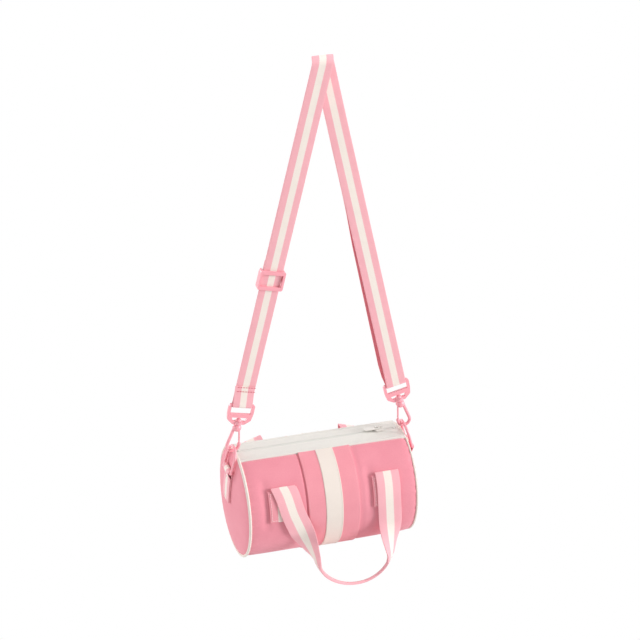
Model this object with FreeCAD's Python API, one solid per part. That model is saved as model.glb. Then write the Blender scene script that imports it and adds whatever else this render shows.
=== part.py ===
import FreeCAD, Part
import math
import os

# Barrel bag hanging by its shoulder strap from a rail. Millimetres, +Z up, +X along the barrel to the
# right of someone facing its front, -Y towards the front. The origin is on the rail's axis, over the
# middle of the bag. What comes in pairs is made once, on the right or at the front, and mirrored.

Vector = FreeCAD.Vector
axis_x = Vector(1, 0, 0)
axis_y = Vector(0, 1, 0)
axis_z = Vector(0, 0, 1)

# Barrel
body_radius = 69.0
body_length = 215.0
shell_thickness = 2.0
padding_thickness = 1.0
lining_thickness = 0.8
seam_allowance = 6.0
piping_diameter = 3.2
piping_flange = 1.0
end_dome = 8.0
band_width = 66.0
band_thickness = 0.8
stripe_width = 22.0
stripe_thickness = 0.6

# Zip along the top
zip_opening_width = 52.0
zip_lean = math.radians(6.5)
zip_tape_thickness = 1.0
zip_sewn_width = 6.0
zip_end_margin = 6.0
teeth_half_width = 3.0
teeth_thickness = 2.4
teeth_root = 0.8
teeth_slit = 1.4
tooth_pitch = 3.6
tooth_width = 1.8
stop_length = 3.0
slider_inset = 19.0
slider_length = 11.0
slider_width = 11.0
slider_corner = 2.2
slider_plate = 1.2
slider_flange = 1.0
slider_post_length = 5.0
slider_post_width = 0.8
bridge_length = 8.0
bridge_height = 3.4
bridge_width = 1.6
bridge_wall = 1.2
pull_length = 20.0
pull_width = 7.0
pull_thickness = 1.3
pull_arm = 1.8

# Carry handles of webbing, each sewn on with two flat patches
handle_width = 30.0
handle_thickness = 1.5
handle_inset = 40.0
patch_length = 41.0
front_fold_angle = math.radians(51.5)
rear_fold_angle = math.radians(59.0)
front_roll_radius = 1.65
handle_twist = math.radians(63.5)
twist_start = 59.5
twist_run = 58.5
front_left_bend = 56.0
front_right_bend = 42.6
front_loop_shift = 31.0
front_loop_drop = 150.2
rear_loop_drop = 138.5

# Shoulder strap, doubled from its adjuster over the rail to the right hook
strap_width = 25.0
strap_thickness = 1.3
rail_radius = 6.0
hook_drop = 497.0
fold_back = 25.5
tail_length = 24.0

# Adjuster on the left leg of the strap
adjuster_height = 226.0
adjuster_length = 25.0
adjuster_rail = 2.6
adjuster_corner = 2.4
adjuster_bar_height = 4.6
adjuster_bar_thickness = 2.4
adjuster_pin_radius = 1.3
adjuster_pin_cover = 0.7

# Swivel hooks, with heights counted along the leg from the centre of the crook
hook_wire = 4.0
crook_radius = 7.5
hook_out = 3.1
hook_over_wrap = 4.5
nose_rise = 2.5
nose_diameter = 4.6
hub_height = 25.0
hub_radius = 5.5
hub_half_height = 4.4
shank_radius = 2.0
head_radius = 4.0
head_height = 3.4
collar_height = 4.3
collar_radius = 4.6
gate_wire = 2.2
gate_pin_radius = 0.8
gate_eye_radius = 1.9
gate_eye_width = 2.4
gate_pivot_in = 3.2
gate_pivot_under = 1.0
gate_swing_room = 1.2
base_thickness = 3.4
base_arm = 3.4
base_foot = 7.5
base_corner = 3.0
base_shoulder = 0.8
base_belly = 1.6
base_bar_radius = 1.75
window_height = 5.0
window_foot = 8.0
window_head = 10.0
cross_bar = 5.3
slot_height = 9.5

# D-rings in their folded tabs on the end panels
ring_wire = 3.5
ring_corner = 2.4
ring_bar_height = 48.0
tab_length = 42.0
tab_sewn_below = 9.0

# Clearances
running_gap = 0.3
layer_gap = 0.2
seat_gap = 0.1
slot_play = 0.75
ring_slack = 1.0
pin_gap = 0.05

# Fineness of the webbing's bends
loop_steps = 10
rail_steps = 12
tab_steps = 5
fold_step = 4.0
web_step = 8.0
fold_zone = 44.0

# Places that follow from the sizes above
half_length = body_length / 2
handle_anchor = half_length - handle_inset
seam_x = half_length - piping_flange / 2
rim_x = half_length + piping_flange / 2
edge_radius = body_radius - piping_diameter / 2
under_wrap = body_radius - shell_thickness
lining_radius = under_wrap - padding_thickness
lip_radius = under_wrap - seam_allowance
inner_x = seam_x - shell_thickness
bag_centre = Vector(0, 0, -(hook_drop + body_radius + hook_over_wrap))
dome_radius = (edge_radius ** 2 + end_dome ** 2) / (2 * end_dome)
dome_edge = math.asin(edge_radius / dome_radius)
zip_half_angle = zip_opening_width / 2 / body_radius
zip_sewn_angle = zip_half_angle + zip_sewn_width / body_radius
zip_far_angle = 2 * math.pi - zip_half_angle
tape_middle = under_wrap - seat_gap - zip_tape_thickness / 2
teeth_count = int((2 * inner_x - 2 * zip_end_margin) / tooth_pitch)
teeth_reach = teeth_count * tooth_pitch / 2
slider_x = teeth_reach - slider_inset
teeth_low = bag_centre.z + tape_middle - teeth_thickness / 2
plate_low = teeth_low + teeth_thickness + running_gap
plate_high = plate_low + slider_plate
hook_pivot = Vector(half_length + hook_out, 0, -hook_drop)
crook_centre = hook_pivot + axis_z * crook_radius
lean = math.atan2(crook_centre.x, -crook_centre.z)
leg_up = Vector(-math.sin(lean), 0, math.cos(lean))
leg_out = Vector(math.cos(lean), 0, math.sin(lean))
inner_wrap = rail_radius + seat_gap + strap_thickness / 2
outer_wrap = inner_wrap + strap_thickness + layer_gap
collar_low = hub_height + hub_half_height + running_gap
collar_high = collar_low + collar_height
window_high = collar_high + window_height
slot_low = window_high + cross_bar
bar_height = slot_low + slot_height + base_bar_radius
bar_loop = base_bar_radius + running_gap + strap_thickness / 2
slot_half = strap_width / 2 + slot_play


def at(x, radius, angle):
    """A point of the barrel, with its angle counted from the top towards the front."""
    return bag_centre + Vector(x, -radius * math.sin(angle), radius * math.cos(angle))


def line(start, end):
    return Part.LineSegment(start, end).toShape()


def arc(start, middle, end):
    return Part.Arc(start, middle, end).toShape()


def mirrored(shape, normal=axis_x):
    return shape.mirror(Vector(0, 0, 0), normal)


def flipped(point):
    """The same place on the left side."""
    return Vector(-point.x, point.y, point.z)


def placed(shape, across, along, up, where):
    """The shape moved from its own X, Y and Z axes to the given ones."""
    rows = []
    for row in range(3):
        rows += [across[row], along[row], up[row], where[row]]
    moved = shape.copy()
    moved.Placement = FreeCAD.Placement(FreeCAD.Matrix(*rows, 0, 0, 0, 1))
    return moved


def box(low, high):
    return Part.makeBox(high[0] - low[0], high[1] - low[1], high[2] - low[2], Vector(*low))


def flat_plate(outline, thickness):
    """A plate with an outline in the XZ plane, half of its thickness on each side of it."""
    points = [Vector(x, -thickness / 2, z) for x, z in outline]
    return Part.Face(Part.makePolygon(points + points[:1])).extrude(axis_y * thickness)


def rounded(shape, radius, axis, wanted=None):
    """The shape with its edges along one axis rounded, or only those whose middle is wanted."""
    edges = []
    for edge in shape.Edges:
        straight = abs(edge.tangentAt(edge.FirstParameter).dot(axis)) > 0.99
        if straight and (wanted is None or wanted(edge.CenterOfMass)):
            edges.append(edge)
    return shape.makeFillet(radius, edges)


def rod(edges, radius):
    """A round wire along edges that run on smoothly."""
    start = edges[0].valueAt(edges[0].FirstParameter)
    heading = edges[0].tangentAt(edges[0].FirstParameter)
    section = Part.Wire(Part.makeCircle(radius, start, heading))
    return Part.Wire(edges).makePipeShell([section], True, False)


def strip(sections, thickness):
    """Flat webbing through sections, each a centre and half of its width as a vector."""
    wires = []
    last = len(sections) - 1
    for index, (centre, half) in enumerate(sections):
        along = Vector(0, 0, 0)
        if index > 0:
            along += (centre - sections[index - 1][0]).normalize()
        if index < last:
            along += (sections[index + 1][0] - centre).normalize()
        deep = half.cross(along).normalize() * (thickness / 2)
        corners = [centre - half - deep, centre + half - deep, centre + half + deep, centre - half + deep]
        wires.append(Part.makePolygon(corners + corners[:1]))
    return Part.makeLoft(wires, True, True)


def arc_shell(inner, outer, start, end, x_low, x_high):
    """A piece of tube round the barrel's axis between two angles."""
    middle = (start + end) / 2
    edges = [
        arc(at(x_low, outer, start), at(x_low, outer, middle), at(x_low, outer, end)),
        line(at(x_low, outer, end), at(x_low, inner, end)),
        arc(at(x_low, inner, end), at(x_low, inner, middle), at(x_low, inner, start)),
        line(at(x_low, inner, start), at(x_low, outer, start)),
    ]
    return Part.Face(Part.Wire(edges)).extrude(axis_x * (x_high - x_low))


def disc(radius, x_low, x_high):
    return Part.makeCylinder(radius, x_high - x_low, bag_centre + axis_x * x_low, axis_x)


def piping_bead():
    where = bag_centre + axis_x * half_length
    return Part.makeTorus(body_radius, piping_diameter / 2, where, axis_x)


def piping():
    """The bead round the right seam, with the flange that is sewn into it."""
    flange = disc(body_radius, seam_x, rim_x).cut(disc(lip_radius, seam_x, rim_x))
    return piping_bead().fuse(flange).removeSplitter()


def body_panel():
    """The wrap, open along the top for the zip, with its edges turned in at both seams."""
    wrap = arc_shell(under_wrap, body_radius, zip_half_angle, zip_far_angle, -seam_x, seam_x)
    lip = arc_shell(lip_radius, under_wrap, zip_half_angle, zip_far_angle, inner_x, seam_x)
    wrap = wrap.fuse([lip, mirrored(lip)]).removeSplitter()
    return wrap.cut([piping_bead(), mirrored(piping_bead())])


def dome_point(share, shift):
    """A point of the right end's bulge, from its middle at share 0 to its rim at share 1."""
    turn = dome_edge * share
    x = rim_x + end_dome + shift - dome_radius * (1 - math.cos(turn))
    return at(x, dome_radius * math.sin(turn), 0)


def end_panel():
    """A round panel that bulges outwards from its seam."""
    thick = shell_thickness
    edges = [
        arc(dome_point(0, 0), dome_point(0.5, 0), dome_point(1, 0)),
        line(dome_point(1, 0), dome_point(1, thick)),
        arc(dome_point(1, thick), dome_point(0.5, thick), dome_point(0, thick)),
        line(dome_point(0, thick), dome_point(0, 0)),
    ]
    return Part.Face(Part.Wire(edges)).revolve(bag_centre, axis_x, 360)


def centre_band():
    top = body_radius + band_thickness
    return arc_shell(body_radius, top, zip_half_angle, zip_far_angle, -band_width / 2, band_width / 2)


def centre_stripe():
    low = body_radius + band_thickness
    high = low + stripe_thickness
    return arc_shell(low, high, zip_half_angle, zip_far_angle, -stripe_width / 2, stripe_width / 2)


def padding():
    far = 2 * math.pi - zip_sewn_angle
    return arc_shell(lining_radius, under_wrap, zip_sewn_angle, far, -inner_x, inner_x)


def lining():
    """A sewn bag inside the padding, open under the zip, with a round end at each seam."""
    far = 2 * math.pi - zip_sewn_angle
    inner = lining_radius - lining_thickness
    tube = arc_shell(inner, lining_radius, zip_sewn_angle, far, -inner_x, inner_x)
    end = disc(inner, inner_x - lining_thickness, inner_x)
    return tube.fuse([end, mirrored(end)]).removeSplitter()


def leaned(shape):
    """A shape of the wrap or the zip turned about the barrel's axis, with the zip towards the back."""
    turned = shape.copy()
    turned.rotate(bag_centre, axis_x, -math.degrees(zip_lean))
    return turned


def zip_tape():
    """The front tape, sewn under the wrap and into both end seams."""
    edge = math.asin(teeth_half_width / tape_middle)
    low = tape_middle - zip_tape_thickness / 2
    high = tape_middle + zip_tape_thickness / 2
    inside = inner_x - seat_gap
    sewn = arc_shell(low, high, edge, zip_sewn_angle, -inside, inside)
    seen = arc_shell(low, high, edge, zip_half_angle - seat_gap / under_wrap, -seam_x, seam_x)
    return sewn.fuse(seen).removeSplitter()


def zip_teeth():
    """The front row: teeth on a cord along the tape's edge, short of the middle by half of the slit."""
    root = seat_gap - teeth_half_width
    gum = root + teeth_root
    tip = -teeth_slit / 2
    points = [(-teeth_reach, root), (-teeth_reach, gum)]
    for index in range(teeth_count):
        left = -teeth_reach + index * tooth_pitch + (tooth_pitch - tooth_width) / 2
        right = left + tooth_width
        points += [(left, gum), (left, tip), (right, tip), (right, gum)]
    points += [(teeth_reach, gum), (teeth_reach, root), (-teeth_reach, root)]
    outline = Part.makePolygon([Vector(x, y, teeth_low) for x, y in points])
    return Part.Face(outline).extrude(axis_z * teeth_thickness)


def zip_stops():
    """A block across both tapes at each end of the teeth."""
    near = teeth_reach + seat_gap
    wide = teeth_half_width - seat_gap
    stop = box((near, -wide, teeth_low), (near + stop_length, wide, teeth_low + teeth_thickness))
    return Part.makeCompound([stop, mirrored(stop)])


def zip_slider():
    """Two plates joined by a thin post that runs in the slit, with a bridge for the pull."""
    left = slider_x - slider_length / 2
    right = slider_x + slider_length / 2
    wide = slider_width / 2
    under = teeth_low - running_gap
    skirt = bag_centre.z + under_wrap + running_gap
    thin = slider_post_width / 2
    lower = rounded(box((left, -wide, under - slider_plate), (right, wide, under)), slider_corner, axis_z)
    upper = rounded(box((left, -wide, plate_low), (right, wide, plate_high)), slider_corner, axis_z)
    flange = box((left + slider_corner, -wide, skirt),
                 (right - slider_corner, slider_flange - wide, plate_low))
    post = box((right - slider_post_length, -thin, under), (right, thin, plate_low))
    reach = bridge_length / 2
    gap = reach - bridge_wall
    slim = bridge_width / 2
    top = plate_high + bridge_height
    bridge = box((slider_x - reach, -slim, plate_high), (slider_x + reach, slim, top))
    bridge = bridge.cut(box((slider_x - gap, -wide, plate_high), (slider_x + gap, wide, top - bridge_wall)))
    return upper.fuse([lower, flange, mirrored(flange, axis_y), post, bridge]).removeSplitter()


pull_hinge = Vector(slider_x, 0, plate_high + (bridge_height - bridge_wall) / 2)


def zip_pull():
    """A flat tab on a bar that passes under the slider's bridge, lying along the closed teeth."""
    thin = pull_thickness / 2
    wide = pull_width / 2
    eye = math.hypot(bridge_length / 2, plate_high + bridge_height - pull_hinge.z) + running_gap
    tab = box((-pull_length, -wide, -thin), (0, wide, thin))
    tab = rounded(tab, wide - running_gap, axis_z, lambda middle: middle.x < -thin)
    hole = box((-eye, pull_arm - wide, -wide), (wide, wide - pull_arm, wide))
    bar = Part.makeCylinder(thin, pull_width, Vector(0, -wide, 0), axis_y)
    return placed(tab.cut(hole).fuse(bar), axis_x, axis_y, axis_z, pull_hinge)


def along_profile(profile, run):
    """Where a hanging profile is after a run, and its heading from straight down towards the front."""
    point, heading = profile[0]
    for length, turn in profile[1:]:
        step = min(run, length)
        run -= step
        old = heading
        heading = old + turn * step / length
        if turn:
            bend = length / turn
            across = bend * (math.cos(heading) - math.cos(old))
            point = point + Vector(0, across, bend * (math.sin(old) - math.sin(heading)))
        else:
            point = point - Vector(0, math.sin(heading), math.cos(heading)) * step
    return point, heading


def loop_path(left_bend, right_bend, shift, drop):
    """A handle's line as a function of its run: across, down and heading. Two legs and two arcs."""
    def leg(reach, bend):
        far = math.hypot(reach, drop - bend)
        return math.atan2(reach, drop - bend) - math.asin(bend / far), math.sqrt(far ** 2 - bend ** 2)

    def side(run, reach, bend):
        slant, straight = leg(reach, bend)
        if run < straight:
            return run * math.sin(slant), run * math.cos(slant), slant
        turn = slant + (run - straight) / bend
        return reach - bend * math.cos(turn), drop - bend + bend * math.sin(turn), turn

    def side_length(reach, bend):
        slant, straight = leg(reach, bend)
        return straight + bend * (math.pi / 2 - slant)

    left_reach = handle_anchor + shift
    right_reach = handle_anchor - shift
    lowest = side_length(left_reach, left_bend)
    length = lowest + side_length(right_reach, right_bend)

    def place(run):
        if run < lowest:
            inwards, down, turn = side(run, left_reach, left_bend)
            return inwards - handle_anchor, down, turn
        inwards, down, turn = side(length - run, right_reach, right_bend)
        return handle_anchor - inwards, down, math.pi - turn
    return place, length


def stations(length):
    """Runs at which a handle gets a section, closer together near its two folds."""
    fine = [fold_step * index for index in range(int(fold_zone / fold_step))]
    count = int((length - 2 * fold_zone) / web_step)
    coarse = [fold_zone + (length - 2 * fold_zone) * index / count for index in range(count + 1)]
    return fine + coarse + [length - run for run in reversed(fine)]


def handle_loop(roll_radius, fold_angle, loop, hugging):
    """A webbing loop on the front of the barrel, rolled at both folds and twisting towards its middle."""
    hinge = at(0, body_radius + running_gap + roll_radius, fold_angle)
    heading = math.pi / 2 - fold_angle if hugging else 0
    out = roll_radius - handle_thickness / 2 - seat_gap
    start = hinge + Vector(0, -math.cos(heading), math.sin(heading)) * out
    place, length = loop
    profile = [(start, heading), (length, 0)]
    if hugging:
        round_barrel = (hinge - bag_centre).Length + out
        profile = [(start, heading), (round_barrel * heading, -heading), (length, 0)]
    sections = []
    for run in stations(length):
        across, down, turn = place(run)
        point, fall = along_profile(profile, down)
        share = min(max((min(run, length - run) - twist_start) / twist_run, 0), 1)
        twist = handle_twist * share * share * (3 - 2 * share)
        downwards = Vector(0, -math.sin(fall), -math.cos(fall))
        outwards = Vector(0, -math.cos(fall), math.sin(fall))
        facing = turn * min(run / fold_zone, 1)
        facing += (math.pi - turn) * (1 - min((length - run) / fold_zone, 1))
        inwards = axis_x * math.cos(facing) - downwards * math.sin(facing)
        half = inwards * math.cos(twist) + outwards * math.sin(twist)
        sections.append((point + axis_x * across, half * (handle_width / 2 / math.cos(turn - facing))))
    rolls = []
    for side in (-1, 1):
        end = hinge + axis_x * (side * handle_anchor - handle_width / 2)
        roll = Part.makeCylinder(roll_radius, handle_width, end, axis_x)
        if roll_radius > 2 * handle_thickness:
            roll = roll.cut(Part.makeCylinder(roll_radius - handle_thickness, handle_width, end, axis_x))
        rolls.append(roll)
    return strip(sections, handle_thickness).fuse(rolls), hinge


fold_sine = math.sin(rear_fold_angle)
rear_roll_radius = (body_radius * (1 - fold_sine) + 2 * handle_thickness + running_gap * 2) / (1 + fold_sine)


def handle_patch(roll_radius, fold_angle):
    """The sewn end of a handle on the front of the barrel, on the right."""
    start = fold_angle + (roll_radius + running_gap) / body_radius
    end = fold_angle + patch_length / body_radius
    top = body_radius + handle_thickness
    left = handle_anchor - handle_width / 2
    return arc_shell(body_radius, top, start, end, left, left + handle_width)


bar_right = crook_centre + leg_up * bar_height
bar_left = flipped(bar_right)
up_left = flipped(leg_up)
across_left = -flipped(leg_out)


def bar_turn(bar, up, half, start, end):
    """Webbing round a hook's bar, from one side angle to another: 0 behind, pi in front."""
    turn = []
    for index in range(loop_steps + 1):
        angle = start + (end - start) * index / loop_steps
        turn.append((bar + (axis_y * math.cos(angle) - up * math.sin(angle)) * bar_loop, half))
    return turn


def rail_turn(radius, start, end):
    """Webbing slanting over the rail: 0 is its front, pi its rear."""
    half = axis_x * (strap_width / 2 / math.cos(lean))
    turn = []
    for index in range(rail_steps + 1):
        angle = start + (end - start) * index / rail_steps
        x = radius * (angle - math.pi / 2) * math.tan(lean)
        turn.append((Vector(x, -radius * math.cos(angle), radius * math.sin(angle)), half))
    return turn


running_foot = bar_left + axis_y * bar_loop
running_top = rail_turn(outer_wrap, 0, math.pi)[0][0]
running_up = (running_top - running_foot).normalize()
running_rear = running_up.cross(across_left).normalize()
running_across = running_rear.cross(running_up)
adjuster_centre = running_foot + running_up * (adjuster_height - bar_height)
tail_offset = strap_thickness + running_gap


def shoulder_strap():
    """One length of webbing: sewn round the left bar, over the rail, round the right bar and back."""
    left_half = across_left * (strap_width / 2)
    right_half = leg_out * (strap_width / 2)
    fold_end = running_foot + running_up * fold_back - running_rear * (strap_thickness + layer_gap)
    return_end = adjuster_centre + running_up * (tail_length + running_gap) + running_rear * tail_offset
    sections = [(fold_end, left_half)]
    sections += bar_turn(bar_left, up_left, left_half, math.pi, 0)
    sections += rail_turn(outer_wrap, 0, math.pi)
    sections += bar_turn(bar_right, leg_up, right_half, 0, math.pi)
    sections += rail_turn(inner_wrap, math.pi, 0)
    sections.append((return_end, running_across * (strap_width / 2)))
    return strip(sections, strap_thickness)


tail_turn = adjuster_pin_radius + seat_gap + strap_thickness / 2
pin_offset = tail_offset + tail_turn


def on_running(shape):
    """A shape with its Z axis along the left leg and its Y axis behind it, at the adjuster."""
    return placed(shape, running_across, running_rear, running_up, adjuster_centre)


def strap_adjuster():
    """A frame with two bars in front of the webbing and a pin behind it."""
    reach = adjuster_length / 2
    front = -(strap_thickness / 2 + running_gap)
    face = front - adjuster_bar_thickness
    back = pin_offset + adjuster_pin_radius + adjuster_pin_cover
    rail = box((slot_half, face, -reach), (slot_half + adjuster_rail, back, reach))
    rail = rounded(rail, adjuster_corner, axis_y, lambda middle: middle.x > slot_half)
    bar = box((-slot_half, face, reach - adjuster_bar_height), (slot_half, front, reach))
    pin = Part.makeCylinder(adjuster_pin_radius, 2 * slot_half, Vector(-slot_half, pin_offset, 0), axis_x)
    frame = rail.fuse([mirrored(rail), bar, mirrored(bar, axis_z), pin]).removeSplitter()
    return on_running(frame)


def strap_tail():
    """The strap's end, sewn back on itself round the adjuster's pin."""
    half = axis_x * (strap_width / 2)
    sewn = tail_offset + strap_thickness + seat_gap
    sections = [(Vector(0, tail_offset, tail_length), half)]
    for index in range(loop_steps + 1):
        angle = math.pi * index / loop_steps
        y = pin_offset - tail_turn * math.cos(angle)
        sections.append((Vector(0, y, -tail_turn * math.sin(angle)), half))
    sections.append((Vector(0, sewn, tail_length / 2), half))
    sections.append((Vector(0, sewn, tail_length), half))
    return on_running(strip(sections, strap_thickness))


def on_leg(shape):
    """A shape with its Z axis up the right leg of the strap, from the centre of the crook."""
    return placed(shape, leg_out, axis_y, leg_up, crook_centre)


nose_top = Vector(-crook_radius, 0, nose_rise)
gate_pivot = Vector(-gate_pivot_in, 0, hub_height - gate_pivot_under)
gate_heading = (nose_top - gate_pivot).normalize()
gate_end = nose_top - gate_heading * (nose_diameter / 2 + running_gap + gate_wire / 2)


def upright_round(radius, low, high):
    return Part.makeCylinder(radius, high - low, Vector(0, 0, low), axis_z)


def hook():
    """Nose, crook and back of one bent wire under a round hub, with a riveted head for the swivel."""
    wire = hook_wire / 2
    top = Vector(hub_radius - wire - running_gap, 0, hub_height)
    touch = math.atan2(top.z, top.x) - math.acos(crook_radius / top.Length)
    shoulder = Vector(crook_radius * math.cos(touch), 0, crook_radius * math.sin(touch))
    bend = rod([
        line(nose_top, Vector(-crook_radius, 0, 0)),
        arc(Vector(-crook_radius, 0, 0), Vector(0, 0, -crook_radius), shoulder),
        line(shoulder, top),
    ], wire)
    nose = Part.makeSphere(nose_diameter / 2, nose_top)
    ball = Part.makeSphere(hub_radius, Vector(0, 0, hub_height))
    ball = ball.common(upright_round(hub_radius, hub_height - hub_half_height, hub_height + hub_half_height))
    head_low = collar_high + running_gap
    slot_top = gate_pivot.z + gate_eye_radius + running_gap
    shank = upright_round(shank_radius, slot_top, head_low)
    cap_radius = (head_radius ** 2 + head_height ** 2) / (2 * head_height)
    head = Part.makeSphere(cap_radius, Vector(0, 0, head_low + head_height - cap_radius))
    head = head.common(upright_round(cap_radius, head_low, head_low + head_height))
    half_slot = gate_eye_width / 2 + running_gap
    slot = box((-2 * hub_radius, -half_slot, hub_height - hub_radius - gate_wire),
               (gate_swing_room, half_slot, slot_top))
    bore = Part.makeCylinder(gate_pin_radius + pin_gap, 4 * hub_radius,
                             gate_pivot - axis_y * (2 * hub_radius), axis_y)
    hub = ball.cut([slot, bore])
    return on_leg(hub.fuse([bend, nose, shank, head]).removeSplitter())


def gate_pin():
    room = math.sqrt(hub_radius ** 2 - gate_pivot_in ** 2 - gate_pivot_under ** 2) - gate_pin_radius / 2
    return on_leg(Part.makeCylinder(gate_pin_radius, 2 * room, gate_pivot - axis_y * room, axis_y))


def hook_gate():
    """A thin sprung wire from its pin in the hub to the nose."""
    wire = gate_wire / 2
    long = (gate_end - gate_pivot).Length
    slope = wire * math.sqrt(0.5)
    edges = [
        line(Vector(0, 0, 0), Vector(wire, 0, 0)),
        line(Vector(wire, 0, 0), Vector(wire, 0, long)),
        arc(Vector(wire, 0, long), Vector(slope, 0, long + slope), Vector(0, 0, long + wire)),
        line(Vector(0, 0, long + wire), Vector(0, 0, 0)),
    ]
    bar = Part.Face(Part.Wire(edges)).revolve(Vector(0, 0, 0), axis_z, 360)
    bar = placed(bar, axis_y.cross(gate_heading), axis_y, gate_heading, gate_pivot)
    side = gate_pivot - axis_y * (gate_eye_width / 2)
    eye = Part.makeCylinder(gate_eye_radius, gate_eye_width, side, axis_y)
    bore = Part.makeCylinder(gate_pin_radius + pin_gap, gate_eye_width, side, axis_y)
    return on_leg(bar.fuse(eye).cut(bore))


def hook_base():
    """A flat shield with a round bar for the webbing, a window for the hook's head and a collar."""
    wide = slot_half + base_arm
    top = bar_height + base_bar_radius
    shoulder = slot_low + base_shoulder
    belly = (wide - base_belly, collar_high + base_belly)
    right = [(base_foot, collar_low), belly, (wide, shoulder), (wide, top)]
    left = [(-x, height) for x, height in reversed(right)]
    plate = flat_plate(right + left, base_thickness)
    plate = rounded(plate, base_corner, axis_y)
    slot = box((-slot_half, -base_thickness, slot_low), (slot_half, base_thickness, top))
    window = flat_plate([(-window_foot, collar_high), (window_foot, collar_high),
                         (window_head, window_high), (-window_head, window_high)], 2 * collar_radius)
    bar = Part.makeCylinder(base_bar_radius, 2 * slot_half, Vector(-slot_half, 0, bar_height), axis_x)
    collar = upright_round(collar_radius, collar_low, collar_high)
    bore = upright_round(shank_radius + running_gap, collar_low, collar_high)
    base = plate.cut([slot, window]).fuse([bar, collar]).removeSplitter()
    return on_leg(base.cut(bore))


tab_foot_radius = dome_radius + seat_gap + strap_thickness / 2
ring_turn = ring_wire / 2 + running_gap + strap_thickness / 2
ring_bar_radius = tab_foot_radius + ring_turn
dome_centre = bag_centre + axis_x * (rim_x + shell_thickness + end_dome - dome_radius)


def on_dome(radius, angle):
    return dome_centre + Vector(radius * math.cos(angle), 0, radius * math.sin(angle))


ring_angle = math.asin(ring_bar_height / ring_bar_radius)
ring_bar = on_dome(ring_bar_radius, ring_angle)


def dring_tab():
    """Webbing sewn to the end panel, up round the ring's bar and down over itself."""
    half = axis_y * (strap_width / 2)
    foot_angle = math.asin((ring_bar_height - tab_length) / tab_foot_radius)
    sewn_angle = math.asin((ring_bar_height - tab_sewn_below) / tab_foot_radius)
    upper_radius = tab_foot_radius + strap_thickness + seat_gap
    sections = []
    for index in range(tab_steps):
        angle = foot_angle + (ring_angle - foot_angle) * index / tab_steps
        sections.append((on_dome(tab_foot_radius, angle), half))
    out = Vector(math.cos(ring_angle), 0, math.sin(ring_angle))
    up = Vector(-math.sin(ring_angle), 0, math.cos(ring_angle))
    for index in range(loop_steps + 1):
        angle = math.pi * index / loop_steps
        sections.append((ring_bar + (up * math.sin(angle) - out * math.cos(angle)) * ring_turn, half))
    sections.append((ring_bar + out * ring_turn - up * (ring_wire / 2), half))
    for index in range(tab_steps + 1):
        angle = sewn_angle + (foot_angle - sewn_angle) * index / tab_steps
        sections.append((on_dome(upper_radius, angle), half))
    return strip(sections, strap_thickness)


def dring():
    """A D of round wire: straight bar in the tab, round top over the hook's crook."""
    wire = ring_wire / 2
    wide = strap_width / 2 + slot_play / 2 + wire
    rise = hook_pivot - ring_bar
    height = rise.Length + hook_wire / 2 + ring_slack + wire
    shoulder = height - wide
    corner = ring_corner
    cut = corner * (1 - math.sqrt(0.5))
    edges = [
        line(Vector(0, 0, 0), Vector(wide - corner, 0, 0)),
        arc(Vector(wide - corner, 0, 0), Vector(wide - cut, 0, cut), Vector(wide, 0, corner)),
        line(Vector(wide, 0, corner), Vector(wide, 0, shoulder)),
        arc(Vector(wide, 0, shoulder), Vector(0, 0, height), Vector(-wide, 0, shoulder)),
        line(Vector(-wide, 0, shoulder), Vector(-wide, 0, corner)),
        arc(Vector(-wide, 0, corner), Vector(cut - wide, 0, cut), Vector(corner - wide, 0, 0)),
        line(Vector(corner - wide, 0, 0), Vector(0, 0, 0)),
    ]
    up = rise.normalize()
    return placed(rod(edges, wire), axis_y, up.cross(axis_y), up, ring_bar)


barrel = {
    "body_panel": body_panel(),
    "centre_band": centre_band(),
    "centre_stripe": centre_stripe(),
    "padding": padding(),
    "lining": lining(),
    "zip_tape_front": zip_tape(),
    "zip_tape_rear": mirrored(zip_tape(), axis_y),
    "zip_teeth_front": zip_teeth(),
    "zip_teeth_rear": mirrored(zip_teeth(), axis_y),
    "zip_stops": zip_stops(),
    "zip_slider": zip_slider(),
    "zip_pull": zip_pull(),
}
nodes = {name: leaned(shape) for name, shape in barrel.items()}
nodes["shoulder_strap"] = shoulder_strap()
nodes["strap_adjuster"] = strap_adjuster()
nodes["strap_tail"] = strap_tail()
front_loop = loop_path(front_left_bend, front_right_bend, front_loop_shift, front_loop_drop)
rear_loop = loop_path(handle_anchor, handle_anchor, 0, rear_loop_drop)
front_handle, front_hinge = handle_loop(front_roll_radius, front_fold_angle, front_loop, True)
rear_handle, rear_hinge = handle_loop(rear_roll_radius, rear_fold_angle, rear_loop, False)
nodes["front_handle"] = front_handle
nodes["rear_handle"] = mirrored(rear_handle, axis_y)
front_patch = handle_patch(front_roll_radius, front_fold_angle)
rear_patch = mirrored(handle_patch(rear_roll_radius, rear_fold_angle), axis_y)
pairs = {
    "end_panel": end_panel(),
    "piping": piping(),
    "front_handle_patch": front_patch,
    "rear_handle_patch": rear_patch,
    "dring_tab": dring_tab(),
    "dring": dring(),
    "hook_base": hook_base(),
    "hook": hook(),
    "hook_gate": hook_gate(),
    "gate_pin": gate_pin(),
}
for name, shape in pairs.items():
    nodes[name + "_right"] = shape
    nodes[name + "_left"] = mirrored(shape)

os.makedirs("parts", exist_ok=True)
for name, shape in nodes.items():
    shape.exportStep("parts/" + name + ".step")
    state = "valid" if shape.isValid() else "BROKEN"
    print(name, len(shape.Solids), "solids", round(shape.Volume), "mm3", state)

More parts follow.
